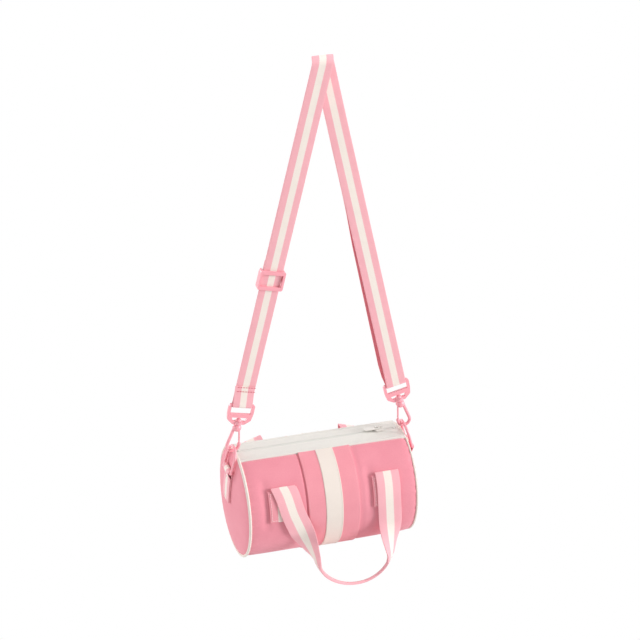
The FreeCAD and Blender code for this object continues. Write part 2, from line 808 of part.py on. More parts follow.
gate_hinge = crook_centre + leg_out * gate_pivot.x + leg_up * gate_pivot.z
adjuster_travel = adjuster_height - adjuster_length / 2 - bar_height - fold_back - strap_thickness
places = {
    "hook pivot": hook_pivot,
    "crook centre": crook_centre,
    "leg up": leg_up,
    "gate hinge": gate_hinge,
    "ring bar": ring_bar,
    "front handle hinge": front_hinge,
    "rear handle hinge": Vector(rear_hinge.x, -rear_hinge.y, rear_hinge.z),
    "zip pull hinge": at(pull_hinge.x, pull_hinge.z - bag_centre.z, -zip_lean),
    "adjuster direction": running_up,
    "bag centre": bag_centre,
}
for name, place in places.items():
    print(name, [round(value, 4) for value in place])
print("adjuster travel", round(adjuster_travel, 2), "rear roll", round(rear_roll_radius, 3))
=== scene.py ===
import math

import bpy
import numpy as np
from mathutils import Matrix


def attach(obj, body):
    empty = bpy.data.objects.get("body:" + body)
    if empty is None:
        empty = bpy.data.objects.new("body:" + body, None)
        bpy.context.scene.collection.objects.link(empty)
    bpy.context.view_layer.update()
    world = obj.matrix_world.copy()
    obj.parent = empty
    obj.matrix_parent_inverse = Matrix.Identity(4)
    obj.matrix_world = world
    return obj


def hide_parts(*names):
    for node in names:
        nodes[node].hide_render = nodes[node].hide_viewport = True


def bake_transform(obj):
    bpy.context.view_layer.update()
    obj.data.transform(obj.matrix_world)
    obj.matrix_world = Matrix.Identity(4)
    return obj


# Barrel bag hanging by its shoulder strap. Shapes are worked out in millimetres and stored in metres.

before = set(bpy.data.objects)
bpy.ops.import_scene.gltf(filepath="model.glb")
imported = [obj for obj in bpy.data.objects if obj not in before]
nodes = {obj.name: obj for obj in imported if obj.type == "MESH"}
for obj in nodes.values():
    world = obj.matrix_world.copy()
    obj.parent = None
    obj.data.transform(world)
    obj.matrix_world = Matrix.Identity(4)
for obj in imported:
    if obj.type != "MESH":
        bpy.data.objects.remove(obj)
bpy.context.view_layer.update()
print("frame loaded:", len(nodes), "nodes")

metres = 0.001
barrel = {"radius": 69.0, "seam": 107.0, "end": 107.5, "height": -570.5, "zipHalf": 26.0 / 69.0,
          "zipLean": math.radians(6.5), "stations": 260}
zipFront, zipRear = barrel["zipHalf"] - barrel["zipLean"], 2 * math.pi - barrel["zipHalf"] - barrel["zipLean"]
sideways = np.array([1.0, 0, 0])
behind = np.array([0, 1.0, 0])
upright = np.array([0, 0, 1.0])


def unit(vectors):
    return vectors / np.linalg.norm(vectors, axis=-1, keepdims=True)


def smooth(value, start, span):
    # 0 up to the start and 1 past the span, eased at both ends
    share = np.clip((value - start) / span, 0, 1)
    return share * share * (3 - 2 * share)


def bell(value, middle, wide):
    return np.exp(-((value - middle) / wide) ** 2)


def onBarrel(x, radius, angle):
    # point at a radius and angle round the barrel's axis, angle from the top towards the front
    x, radius, angle = np.broadcast_arrays(np.asarray(x, float), radius, angle)
    return np.stack([x, -radius * np.sin(angle), barrel["height"] + radius * np.cos(angle)], -1)


def outwardOn(angle):
    return np.stack([0 * angle, -np.sin(angle), np.cos(angle)], -1)


def enclosedVolume(points, faces):
    # sum of the signed tetrahedra from the origin to each face's fan
    total = 0.0
    for face in faces:
        fan = points[face]
        total += np.einsum("ij,ij->", np.cross(fan[1:-1], fan[2:]), np.broadcast_to(fan[0], fan[2:].shape))
    return total


def pieceFrom(name, points, faces, cloth=None, sharp=35.0):
    # a mesh object in metres whose faces point outwards, with the cloth's own coordinates as an attribute
    points = np.asarray(points, float).reshape(-1, 3)
    if enclosedVolume(points, faces) < 0:
        faces = [face[::-1] for face in faces]
    mesh = bpy.data.meshes.new(name)
    mesh.from_pydata((points * metres).tolist(), [], faces)
    mesh.polygons.foreach_set("use_smooth", np.ones(len(mesh.polygons), bool))
    mesh.set_sharp_from_angle(angle=math.radians(sharp))
    if cloth is not None:
        field = mesh.attributes.new("cloth", "FLOAT_VECTOR", "POINT")
        field.data.foreach_set("vector", (np.asarray(cloth, float).reshape(-1, 3) * metres).ravel())
    mesh.update()
    piece = bpy.data.objects.new(name, mesh)
    bpy.context.scene.collection.objects.link(piece)
    return piece


def ringFaces(stations, around, looped):
    # quads between neighbouring rings, and a cap at each end unless the rings close on themselves
    index = np.arange(stations * around).reshape(stations, around)
    here = index if looped else index[:-1]
    ahead = np.roll(index, -1, 0) if looped else index[1:]
    quads = np.stack([here, np.roll(here, -1, 1), np.roll(ahead, -1, 1), ahead], -1)
    faces = quads.reshape(-1, 4).tolist()
    return faces if looped else faces + [index[0][::-1].tolist(), index[-1].tolist()]


def solidFromRings(name, rings, cloth=None, looped=False, sharp=35.0):
    # rings is (stations, points round, 3)
    return pieceFrom(name, rings, ringFaces(rings.shape[0], rings.shape[1], looped), cloth, sharp)


def runLength(points):
    steps = np.linalg.norm(np.diff(points, axis=0), axis=1)
    return np.concatenate([[0.0], np.cumsum(steps)])


def sampled(at, run, values):
    return np.stack([np.interp(at, run, values[:, axis]) for axis in range(3)], -1)


def spaced(sections, step):
    # centres and half widths put in at most a step apart, straight between the given ones
    run = runLength(sections[0])
    counts = np.maximum(np.ceil(np.diff(run) / step).astype(int), 1)
    places = [np.linspace(run[i], run[i + 1], counts[i], endpoint=False) for i in range(len(counts))]
    at = np.concatenate(places + [run[-1:]])
    return tuple(sampled(at, run, values) for values in sections)


def joined(*stretches):
    return tuple(np.concatenate([stretch[part] for stretch in stretches]) for part in (0, 1))


def carried(half, centres):
    # the same half width at every centre
    return np.broadcast_to(half, centres.shape)


webbingShape = {"crown": 0.12, "long": 31.0, "shift": 0.7, "short": 13.7, "curl": 0.8, "curlLong": 22.0}


def flatProfile(width, thick, across=9, edge=4):
    # flat faces with a slight crown and half-round selvedges: offsets across and through
    flat = width / 2 - thick / 2
    top = np.linspace(-flat, flat, across)
    turn = np.linspace(math.pi / 2, -math.pi / 2, edge + 2)[1:-1]
    rightX, rightZ = flat + thick / 2 * np.cos(turn), thick / 2 * np.sin(turn)
    crown = thick / 2 * (1 - webbingShape["crown"] * (top / flat) ** 2)
    offsetX = np.concatenate([top, rightX, top[::-1], -rightX])
    offsetZ = np.concatenate([crown, rightZ, -crown[::-1], -rightZ])
    return offsetX, offsetZ


def webbing(name, sections, thick, wave=0.0, swell=1.0):
    # the flat profile carried along the centres, its width along the half vectors, thicker where it swells
    centres, halves = sections
    along = unit(np.gradient(centres, axis=0))
    through = unit(np.cross(halves, along))
    run = runLength(centres)
    width = 2 * np.linalg.norm(halves, axis=1)
    offsetX, offsetZ = flatProfile(float(np.median(width)), thick)
    share = offsetX / np.abs(offsetX).max()
    lift = np.sin(run / webbingShape["long"] + webbingShape["shift"]) * np.sin(run / webbingShape["short"])
    curl = webbingShape["curl"] * np.sin(run / webbingShape["curlLong"])[:, None] * share[None] ** 2
    depth = offsetZ[None] * np.broadcast_to(swell, run.shape)[:, None] + wave * (lift[:, None] + curl)
    rings = centres[:, None] + halves[:, None] * share[None, :, None] + through[:, None] * depth[..., None]
    cloth = np.stack(np.broadcast_arrays(offsetX[None], run[:, None], np.sign(offsetZ)[None]), -1)
    return solidFromRings(name, rings, cloth)


def dress(piece, body, slot, material, *cadNodes):
    # the last words on a piece: its finish, what it rides on and what it stands for
    piece.data.materials.append(material)
    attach(piece, body)
    if cadNodes:
        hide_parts(*cadNodes)


def recoat(node, material):
    node.data.materials.clear()
    node.data.materials.append(material)


# Finishes

def linear(red, green, blue):
    return [((c / 255 + 0.055) / 1.055) ** 2.4 if c > 10 else c / 255 / 12.92 for c in (red, green, blue)] + [1.0]


def feed(tree, value, socket):
    # a socket takes a plain value or what another node gives
    if isinstance(value, bpy.types.NodeSocket):
        tree.links.new(value, socket)
    else:
        socket.default_value = value


def calc(tree, operation, *values):
    node = tree.nodes.new("ShaderNodeMath")
    node.operation = operation
    for place, value in enumerate(values):
        feed(tree, value, node.inputs[place])
    return node.outputs[0]


def mixed(tree, factor, first, second, blend="MIX"):
    # two colours; the colour sockets of the mix node come after those for numbers and vectors
    mix = tree.nodes.new("ShaderNodeMix")
    mix.data_type, mix.blend_type = "RGBA", blend
    for place, value in ((0, factor), (6, first), (7, second)):
        feed(tree, value, mix.inputs[place])
    return mix.outputs[2]


def grouped(tree, group, **values):
    node = tree.nodes.new("ShaderNodeGroup")
    node.node_tree = group
    for label, value in values.items():
        feed(tree, value, node.inputs[label])
    return node.outputs


def newGroup(name, takes, gives):
    group = bpy.data.node_groups.new(name, "ShaderNodeTree")
    for way, sockets in (("INPUT", takes), ("OUTPUT", gives)):
        for label, kind in sockets.items():
            group.interface.new_socket(label, in_out=way, socket_type="NodeSocket" + kind)
    return group, group.nodes.new("NodeGroupInput").outputs, group.nodes.new("NodeGroupOutput").inputs


def weaveGroup():
    # plain weave: two sets of round threads that go over and under in turn
    group, takes, gives = newGroup(
        "plainWeave", {"Vector": "Vector", "Pitch": "Float", "Stretch": "Float"}, {"Height": "Float"})
    split = group.nodes.new("ShaderNodeSeparateXYZ")
    group.links.new(takes["Vector"], split.inputs[0])
    longPitch = calc(group, "MULTIPLY", takes["Pitch"], takes["Stretch"])
    warp, weft = (calc(group, "SINE", calc(group, "MULTIPLY", calc(group, "DIVIDE", place, pitch), math.pi))
                  for place, pitch in ((split.outputs[0], takes["Pitch"]), (split.outputs[1], longPitch)))
    over = calc(group, "GREATER_THAN", calc(group, "MULTIPLY", warp, weft), 0.0)
    first, second = calc(group, "ABSOLUTE", warp), calc(group, "ABSOLUTE", weft)
    height = calc(group, "MULTIPLY_ADD", over, calc(group, "SUBTRACT", second, first), first)
    group.links.new(height, gives["Height"])
    return group


def mottleGroup():
    # soft variation of a colour: broad patches and fine slubs
    group, takes, gives = newGroup(
        "mottle", {"Vector": "Vector", "Color": "Color", "Amount": "Float", "Scale": "Float"},
        {"Color": "Color", "Mask": "Float"})
    broad = group.nodes.new("ShaderNodeTexNoise")
    fine = group.nodes.new("ShaderNodeTexNoise")
    fine.inputs["Detail"].default_value = 4.0
    for noise, factor in ((broad, 1.0), (fine, 14.0)):
        group.links.new(takes["Vector"], noise.inputs["Vector"])
        group.links.new(calc(group, "MULTIPLY", takes["Scale"], factor), noise.inputs["Scale"])
    both = calc(group, "MULTIPLY", calc(group, "ADD", broad.outputs["Fac"], fine.outputs["Fac"]), 0.5)
    tone = group.nodes.new("ShaderNodeHueSaturation")
    swing = calc(group, "MULTIPLY", calc(group, "SUBTRACT", both, 0.5), takes["Amount"])
    group.links.new(calc(group, "ADD", swing, 1.0), tone.inputs["Value"])
    group.links.new(calc(group, "SUBTRACT", 1.0, swing), tone.inputs["Saturation"])
    group.links.new(takes["Color"], tone.inputs["Color"])
    group.links.new(tone.outputs["Color"], gives["Color"])
    group.links.new(both, gives["Mask"])
    return group


weave, mottle = weaveGroup(), mottleGroup()
wovenLook = {"sheen": 0.15, "spots": 38.0, "shade": 0.12, "gap": (0.55, 0.5, 0.5, 1.0), "bump": 0.35}
stripedLook = {"roughness": 0.8, "sheen": 0.18, "mottle": 0.1, "spots": 60.0, "shade": 0.14,
               "gap": (0.6, 0.5, 0.5, 1.0), "bump": 0.45, "stretch": 2.2, "toothing": 0.00012, "teeth": 2600.0,
               "paintedShadeFrom": 0.49}
coatedLook = {"coat": 0.25, "coatRoughness": 0.25, "specular": 0.5, "mottle": 0.06, "spots": 90.0,
              "uneven": 0.16, "peel": 700.0, "bump": 0.12, "peelHeight": 0.0002}


def startMaterial(name, roughness, sheen=0.0, coat=0.0):
    material = bpy.data.materials.new(name)
    material.use_nodes = True
    tree = material.node_tree
    shader = tree.nodes["Principled BSDF"]
    for label, value in (("Roughness", roughness), ("Sheen Weight", sheen), ("Sheen Roughness", 0.5),
                         ("Coat Weight", coat), ("Specular IOR Level", 0.3)):
        shader.inputs[label].default_value = value
    return material, tree, shader


def clothPlace(tree, fromAttribute):
    # where the pattern is: the cloth's own across and along, or the piece's place
    if fromAttribute:
        field = tree.nodes.new("ShaderNodeAttribute")
        field.attribute_name = "cloth"
        return field.outputs["Vector"]
    return tree.nodes.new("ShaderNodeTexCoord").outputs["Object"]


def bumped(tree, shader, height, strength, distance):
    bump = tree.nodes.new("ShaderNodeBump")
    for label, value in (("Strength", strength), ("Distance", distance), ("Height", height)):
        feed(tree, value, bump.inputs[label])
    tree.links.new(bump.outputs["Normal"], shader.inputs["Normal"])


def threaded(tree, shader, place, color, pitch, stretch, look):
    # the weave over a colour: darker between the threads, and raised
    height = grouped(tree, weave, Vector=place, Pitch=pitch * metres, Stretch=stretch)["Height"]
    between = calc(tree, "MULTIPLY_ADD", height, -look["shade"], look["shade"])
    tree.links.new(mixed(tree, between, color, look["gap"], "MULTIPLY"), shader.inputs["Base Color"])
    bumped(tree, shader, height, look["bump"], pitch * 0.3 * metres)


def wovenMaterial(name, color, pitch, stretch=1.0, roughness=0.85, amount=0.12, fromAttribute=True):
    material, tree, shader = startMaterial(name, roughness, wovenLook["sheen"])
    place = clothPlace(tree, fromAttribute)
    spots = grouped(tree, mottle, Vector=place, Color=color, Amount=amount, Scale=wovenLook["spots"])
    threaded(tree, shader, place, spots["Color"], pitch, stretch, wovenLook)
    return material


def stripedMaterial(name, edgeColor, middleColor, width, pitch, paintedShadeColor=None):
    # webbing with a pale middle third: the stripe's edge is a step in the across coordinate; beyond the rail
    # its reverse face may be given a deeper red, painted shade for the shadow of the front layer on the rear one
    material, tree, shader = startMaterial(name, stripedLook["roughness"], stripedLook["sheen"])
    place = clothPlace(tree, True)
    split = tree.nodes.new("ShaderNodeSeparateXYZ")
    tree.links.new(place, split.inputs[0])
    across, along, face = split.outputs
    wave = calc(tree, "SINE", calc(tree, "MULTIPLY", along, stripedLook["teeth"]))
    toothed = calc(tree, "MULTIPLY", wave, stripedLook["toothing"])
    fromMiddle = calc(tree, "ADD", calc(tree, "ABSOLUTE", across), toothed)
    middle = calc(tree, "LESS_THAN", fromMiddle, width * metres / 6)
    # painted shade: the reverse face past the rail takes the deeper colour in place of the shadow between the layers
    if paintedShadeColor:
        beyond = calc(tree, "GREATER_THAN", along, stripedLook["paintedShadeFrom"])
        reverse = calc(tree, "MULTIPLY", calc(tree, "LESS_THAN", face, 0.0), beyond)
        edgeColor = mixed(tree, reverse, edgeColor, paintedShadeColor)
    stripe = mixed(tree, middle, edgeColor, middleColor)
    spots = grouped(tree, mottle, Vector=place, Color=stripe, Amount=stripedLook["mottle"],
                    Scale=stripedLook["spots"])
    threaded(tree, shader, place, spots["Color"], pitch, stripedLook["stretch"], stripedLook)
    return material


def coatedMaterial(name, color, roughness):
    # sprayed coat on metal or plastic: slight orange peel and uneven gloss
    material, tree, shader = startMaterial(name, roughness, coat=coatedLook["coat"])
    shader.inputs["Coat Roughness"].default_value = coatedLook["coatRoughness"]
    shader.inputs["Specular IOR Level"].default_value = coatedLook["specular"]
    place = clothPlace(tree, False)
    spots = grouped(tree, mottle, Vector=place, Color=color, Amount=coatedLook["mottle"], Scale=coatedLook["spots"])
    tree.links.new(spots["Color"], shader.inputs["Base Color"])
    uneven = coatedLook["uneven"]
    gloss = calc(tree, "MULTIPLY_ADD", spots["Mask"], uneven, roughness - uneven / 2)
    tree.links.new(gloss, shader.inputs["Roughness"])
    peel = tree.nodes.new("ShaderNodeTexNoise")
    peel.inputs["Scale"].default_value = coatedLook["peel"]
    tree.links.new(place, peel.inputs["Vector"])
    bumped(tree, shader, peel.outputs["Fac"], coatedLook["bump"], coatedLook["peelHeight"])
    return material


colours = {
    "canvas": linear(240, 152, 166),
    "band": linear(243, 157, 169),
    "webbingPink": linear(251, 184, 193),
    # painted shade: a deeper red for the strap's reverse face, standing in for the shadow the front layer casts on the
    # rear layer
    "webbingPaintedShade": linear(251, 144, 157),
    "webbingCream": linear(250, 239, 230),
    # painted shade: the patches are the handle's own webbing, given deeper copies of its pink and cream for the shade
    # under the folds
    "patchShadedPink": linear(242, 160, 171),
    "patchShadedCream": linear(242, 226, 217),
    "cream": linear(240, 229, 220),
    "zipTape": linear(231, 228, 222),
    "zipTeeth": linear(222, 220, 214),
    "zipPull": linear(230, 226, 220),
    "hardware": linear(251, 168, 180),
    "thread": linear(247, 178, 188),
    "paleThread": linear(252, 206, 210),
    "deepThread": linear(216, 106, 120),
    "lining": linear(236, 190, 196),
    "foam": linear(232, 230, 224),
}
canvas = wovenMaterial("pinkCanvas", colours["canvas"], 0.55)
bandCloth = wovenMaterial("pinkBand", colours["band"], 0.6, 2.0)
creamCloth = wovenMaterial("creamStripe", colours["cream"], 0.6, 2.0, amount=0.06)
pipingCloth = wovenMaterial("creamPiping", colours["cream"], 0.5, 1.0, 0.7, amount=0.06)
tapeCloth = wovenMaterial("zipTapeCloth", colours["zipTape"], 0.5, 2.5, 0.75, amount=0.06)
liningCloth = wovenMaterial("liningCloth", colours["lining"], 0.4, fromAttribute=False)
foamCloth = wovenMaterial("paddingFoam", colours["foam"], 1.4, roughness=0.95, fromAttribute=False)
strapCloth = stripedMaterial("stripedStrap", colours["webbingPink"], colours["webbingCream"], 25.0, 0.8,
                             colours["webbingPaintedShade"])
# painted shade: the same striped webbing as the handle, in its darker shaded copies
shadedPatchCloth = stripedMaterial("stripedPatchShaded", colours["patchShadedPink"], colours["patchShadedCream"], 30.0, 0.9)
handleCloth = stripedMaterial("stripedHandle", colours["webbingPink"], colours["webbingCream"], 30.0, 0.9)
hardwareCoat = coatedMaterial("pinkCoat", colours["hardware"], 0.38)
zipCoat = coatedMaterial("zipCoat", colours["zipPull"], 0.35)
toothPlastic = coatedMaterial("zipTeethPlastic", colours["zipTeeth"], 0.42)
threadPink, threadPale, threadDeep, threadCream = (
    wovenMaterial(name, colours[shade], 0.3, 3.0, 0.7, fromAttribute=False)
    for name, shade in (("pinkThread", "thread"), ("paleThread", "paleThread"), ("deepPinkThread", "deepThread"),
                        ("creamThread", "cream")))
print("finishes made:", len(bpy.data.materials))


# Barrel: wrap, band, stripe, ends, piping

ends = {
    "Left": {"side": -1, "ring": 69.0, "bead": 1.8, "drawIn": 1.3, "decay": 3.2},
    "Right": {"side": 1, "ring": 67.3, "bead": 1.2, "drawIn": 2.2, "decay": 4.0},
}
wrapShape = {"thick": 2.0, "least": 0.6, "pucker": 0.3, "puckers": 46, "slowPuckers": 29, "puckerReach": 8.0,
             "sag": 0.9, "swell": 0.35, "edge": 0.9, "edgeReach": 0.8, "dent": 1.4, "dentWide": 5.5, "dentFlat": 0.32,
             "creaseRings": (-36.2, -32.2, 11)}
creases = ({"x": 35.0, "deep": 0.7, "wide": 2.6}, {"x": -34.3, "deep": 1.6, "wide": 0.9})
dents = ({"x": -86.0, "start": 38.0, "long": 58.0}, {"x": 48.0, "start": 40.0, "long": 50.0})


def wrapRadius(x, angle):
    # the full barrel, drawn in and puckered at the end seams, creased beside the band, pressed in at the left of
    # both front patches, sagging below
    x, angle = np.broadcast_arrays(np.asarray(x, float), angle)
    fromSeam = np.maximum(barrel["seam"] - np.abs(x), 0)
    drawn = [end["drawIn"] * np.exp(-fromSeam / end["decay"]) for end in ends.values()]
    radius = barrel["radius"] - np.where(x < 0, *drawn)
    folds = np.cos(wrapShape["puckers"] * angle + 1.7 * np.sign(x))
    folds = folds + 0.6 * np.sin(wrapShape["slowPuckers"] * angle + 0.4)
    radius = radius + wrapShape["pucker"] * np.exp(-fromSeam / wrapShape["puckerReach"]) * folds
    for crease in creases:
        radius = radius - crease["deep"] * bell(x, crease["x"], crease["wide"])
    for dent in dents:
        share = (np.degrees(angle) - dent["start"]) / dent["long"]
        reach = np.exp(-np.maximum(np.abs(share - 0.5) - wrapShape["dentFlat"], 0) ** 2 / 0.02)
        radius = radius - wrapShape["dent"] * reach * bell(x, dent["x"], wrapShape["dentWide"])
    low = np.maximum(-np.cos(angle), 0) ** 2
    radius = radius + wrapShape["sag"] * low * (1 - (x / barrel["seam"]) ** 2)
    return radius + wrapShape["swell"] * np.sin(3 * angle + x / 41.0) * np.sin(x / 33.0 + 0.5)


def makeWrap():
    # closed shell: the outer arc and the inner arc of each ring along the barrel, with more rings at the sharp crease
    angle = np.linspace(zipFront, zipRear, barrel["stations"])
    ease = np.sin(np.linspace(-1, 1, 90) * math.pi / 2)
    x = np.sort(np.concatenate([ease * barrel["seam"], np.linspace(*wrapShape["creaseRings"])]))[:, None]
    edge = np.minimum(angle - zipFront, zipRear - angle) * barrel["radius"]
    outer = wrapRadius(x, angle[None]) - wrapShape["edge"] * np.exp(-edge / wrapShape["edgeReach"])
    inner = np.minimum(barrel["radius"] - wrapShape["thick"], outer - wrapShape["least"])
    rings = np.concatenate([onBarrel(x, outer, angle), onBarrel(x, inner, angle)[:, ::-1]], 1)
    around = np.concatenate([angle, angle[::-1]]) * barrel["radius"]
    cloth = np.stack(np.broadcast_arrays(x, around[None], 0.0), -1)
    piece = solidFromRings("bodyWrap", rings, cloth)
    dress(piece, "bag", "body_fabric", canvas, "body_panel")


bands = {
    "centreBand": {"width": 66.0, "low": 0.0, "high": 0.9, "lip": 0.25, "material": bandCloth,
                   "slot": "band_webbing", "node": "centre_band"},
    "centreStripe": {"width": 22.0, "low": 0.8, "high": 1.4, "lip": 0.0, "material": creamCloth,
                     "slot": "cream_webbing", "node": "centre_stripe"},
}


def makeBand(name, band):
    # a flat profile with soft edges carried round the barrel from one zip edge to the other, its lip a little wavy
    angle = np.linspace(zipFront, zipRear, barrel["stations"])[:, None]
    offsetX, offsetZ = flatProfile(band["width"], band["high"] - band["low"], across=15)
    lip = band["lip"] * np.abs(offsetX / offsetX.max()) ** 6 * (1 + 0.5 * np.sin(7 * angle))
    radius = wrapRadius(offsetX[None] * 0.96, angle) + (band["low"] + band["high"]) / 2 + offsetZ[None] + lip
    rings = onBarrel(offsetX[None], radius, angle)
    cloth = np.stack(np.broadcast_arrays(offsetX[None], angle * barrel["radius"], 0.0), -1)
    dress(solidFromRings(name, rings, cloth), "bag", band["slot"], band["material"], band["node"])


endShape = {"inset": 1.6, "bulge": 8.0, "thick": 2.0, "rimX": 110.0, "pucker": 0.3, "puckers": 44, "slowPuckers": 27,
            "puckerReach": 6.0, "tuck": 1.7, "tuckReach": 3.0}
pipingShape = {"uneven": 0.05, "twist": 0.35}


def makeEnd(label, end):
    # rings from the middle of the outer face over the rim to the middle of the inner face, puckered beside the seam
    turn = np.linspace(0, 2 * math.pi, 180, endpoint=False)[None]
    rim = end["ring"] - endShape["inset"]
    radius = (rim * np.linspace(0.004, 1, 40) ** 0.8)[:, None]
    folds = np.cos(endShape["puckers"] * turn) + 0.5 * np.sin(endShape["slowPuckers"] * turn + 1.0)
    face = endShape["rimX"] + endShape["bulge"] * (1 - (radius / rim) ** 2)
    face = face + endShape["pucker"] * np.exp(-(rim - radius) / endShape["puckerReach"]) * folds
    outside = face - endShape["tuck"] * np.exp(-(rim - radius) / endShape["tuckReach"])
    x = end["side"] * np.concatenate([outside, face[::-1] - endShape["thick"]])
    spread = np.concatenate([radius, radius[::-1]])
    x, y, z = np.broadcast_arrays(x, spread * np.sin(turn), barrel["height"] + spread * np.cos(turn))
    piece = solidFromRings("endPanel" + label, np.stack([x, y, z], -1), np.stack([y, z, x], -1))
    dress(piece, "bag", "body_fabric", canvas, "end_panel_" + label.lower())


def makePiping(label, end):
    # a bead round the seam: a circle carried round the barrel, a little uneven as sewn cord is
    turn = np.linspace(0, 2 * math.pi, 300, endpoint=False)[:, None]
    tube = np.linspace(0, 2 * math.pi, 14, endpoint=False)[None]
    bead = end["bead"] + pipingShape["uneven"] * np.sin(61 * turn) * np.cos(7 * turn)
    radius = end["ring"] + bead * np.cos(tube)
    x = end["side"] * (barrel["end"] + bead * np.sin(tube))
    twist = tube * end["bead"] + turn * barrel["radius"] * pipingShape["twist"]
    cloth = np.stack([twist, turn * barrel["radius"] - twist, 0 * twist], -1)
    piece = solidFromRings("piping" + label, onBarrel(x, radius, turn), cloth, looped=True)
    dress(piece, "bag", "cream_piping", pipingCloth, "piping_" + label.lower())


makeWrap()
for name, band in bands.items():
    makeBand(name, band)
for label, end in ends.items():
    makeEnd(label, end)
    makePiping(label, end)
recoat(nodes["padding"], foamCloth)
recoat(nodes["lining"], liningCloth)
print("barrel made")


# Zip

zipShape = {"teeth": 55, "pitch": 3.6, "reach": 99.0, "slit": 0.9, "tooth": 1.2, "ridge": 0.16, "tape": 66.4,
            "lift": 0.45, "rise": 1.3, "riseFrom": 8.0, "riseRun": 12.0, "inner": 2.8, "tuck": 6.0, "thick": 0.9,
            "wave": 0.25, "ridgeLine": 0.12, "lip": 2.2, "lipAt": 23.6, "lipWide": 1.9, "lipEnd": 25.6, "end": 106.8,
            "closed": 103.4, "closing": 1.4}


def tapeRadius(along):
    # height of the tape by its distance from the middle: flat beside the teeth, rising, a rounded lip, then tucked in
    flat = zipShape["tape"] + zipShape["lift"]
    height = flat + zipShape["rise"] * smooth(along, zipShape["riseFrom"], zipShape["riseRun"])
    height = height + zipShape["lip"] * bell(along, zipShape["lipAt"], zipShape["lipWide"])
    return np.where(along < zipShape["lipEnd"], height, flat)


def makeTape(front, label):
    # a thin ribbon from under the wrap's edge to the teeth, waving a little, closed beyond the stops
    x, bends = np.linspace(-zipShape["end"], zipShape["end"], 160), np.array([101.8, 103.5])
    x = np.sort(np.concatenate([x, bends, -bends]))[:, None]
    far = zipShape["tape"] * barrel["zipHalf"] + zipShape["tuck"]
    parted = np.clip((zipShape["closed"] - np.abs(x)) / zipShape["closing"], 0, 1)
    near = 0.05 + (zipShape["inner"] - 0.05) * parted
    along = near + (far - near) * np.linspace(0, 1, 44)[None]
    wave = zipShape["wave"] * np.sin(x / 17.0 + 1.1 * front) * bell(along, 13, 5.0)
    outer = tapeRadius(along) + wave + zipShape["ridgeLine"] * bell(along, 7.3, 0.8)
    angle = front * along / zipShape["tape"] - barrel["zipLean"]
    inner = outer - zipShape["thick"]
    rings = np.concatenate([onBarrel(x, outer, angle), onBarrel(x, inner, angle)[:, ::-1]], 1)
    around = np.concatenate([along, along[:, ::-1]], 1)
    cloth = np.stack(np.broadcast_arrays(around, x, 0.0), -1)
    piece = solidFromRings("zipTape" + label, rings, cloth)
    dress(piece, "bag", "zip_tape", tapeCloth, "zip_tape_" + label.lower())


def makeTeeth(front, label):
    # a closed coil along the tape's edge: a squarish oval section with a ridge on each half pitch
    x = np.linspace(-zipShape["reach"], zipShape["reach"], zipShape["teeth"] * 8 + 1)[:, None]
    tube = np.linspace(0, 2 * math.pi, 12, endpoint=False)
    oval = np.stack([np.cos(tube), np.sin(tube)])
    oval = np.sign(oval) * np.abs(oval) ** 0.7
    ridge = 1 - zipShape["ridge"] * np.abs(np.cos(x * 2 * math.pi / zipShape["pitch"]))
    tooth = zipShape["tooth"]
    across = front * (zipShape["slit"] / 2 + tooth + tooth * oval[0][None] * ridge)
    height = zipShape["tape"] + tooth * oval[1][None] * ridge
    rings = onBarrel(x, height, across / zipShape["tape"] - barrel["zipLean"])
    piece = solidFromRings("zipTeeth" + label, rings, sharp=70)
    dress(piece, "bag", "zip_plastic", toothPlastic, "zip_teeth_" + label.lower())


for front, label in ((1, "Front"), (-1, "Rear")):
    makeTape(front, label)
    makeTeeth(front, label)
recoat(nodes["zip_stops"], toothPlastic)
recoat(nodes["zip_slider"], zipCoat)
recoat(nodes["zip_pull"], zipCoat)
print("zip made")


# Carry handles

handle = {"width": 30.0, "thick": 1.5, "anchor": 67.5, "patch": 41.0, "gap": 0.3, "twist": math.radians(56),
          "twistStart": 59.5, "twistRun": 58.5, "foldZone": 44.0, "gripStart": 105.0, "gripRun": 25.0,
          "gripSwell": 1.5, "wave": 0.12, "givenTo": 240.0, "lastLeg": 120.0}
handleHalfWidth = sideways * handle["width"] / 2
frontHandle = {"side": 1, "roll": 1.65, "fold": math.radians(51.5), "leaves": math.radians(38.5),
               "around": math.radians(215), "bends": (56.0, 42.6), "shift": 31.0, "drop": 150.2, "flat": 1.0,
               "tilt": 0.0, "slides": (5.0, 2.5), "patches": {"Left": -67.5, "Right": 65.5},
               "twists": {58: 0, 70: 18, 82: 38, 94: 56, 105: 68, 113: 80, 121: 91, 134: 84, 154: 70, 173: 60, 192: 54,
                          210: 51.5, 227: 54, 245: 60}}
rearHandle = {"side": -1, "roll": 7.245, "fold": math.radians(59), "leaves": 0.0, "around": math.radians(285),
              "bends": (67.5, 67.5), "shift": 0.0, "drop": 138.5, "flat": 0.2, "tilt": math.radians(18),
              "slides": (-2.0, -6.0), "patches": {"Left": -67.5, "Right": 67.5}, "twists": {}}
handles = {"Front": frontHandle, "Rear": rearHandle}
for shape in handles.values():
    shape["hinge"] = barrel["radius"] + handle["gap"] + shape["roll"]
    shape["out"] = shape["roll"] - handle["thick"] / 2 - 0.1
    shape["mirror"] = np.array([1.0, shape["side"], 1.0])


def handleHalf(reach, bend, drop):
    # one leg of a handle: straight from its fold, then along an arc to the loop's lowest point
    far = math.hypot(reach, drop - bend)
    slant = math.atan2(reach, drop - bend) - math.asin(bend / far)
    straight = math.sqrt(far ** 2 - bend ** 2)
    run = np.linspace(0, straight + bend * (math.pi / 2 - slant), 120)
    turn = np.maximum(slant, slant + (run - straight) / bend)
    inwards = np.where(run < straight, run * math.sin(slant), reach - bend * np.cos(turn))
    down = np.where(run < straight, run * math.cos(slant), drop - bend + bend * np.sin(turn))
    return run, inwards, down, turn


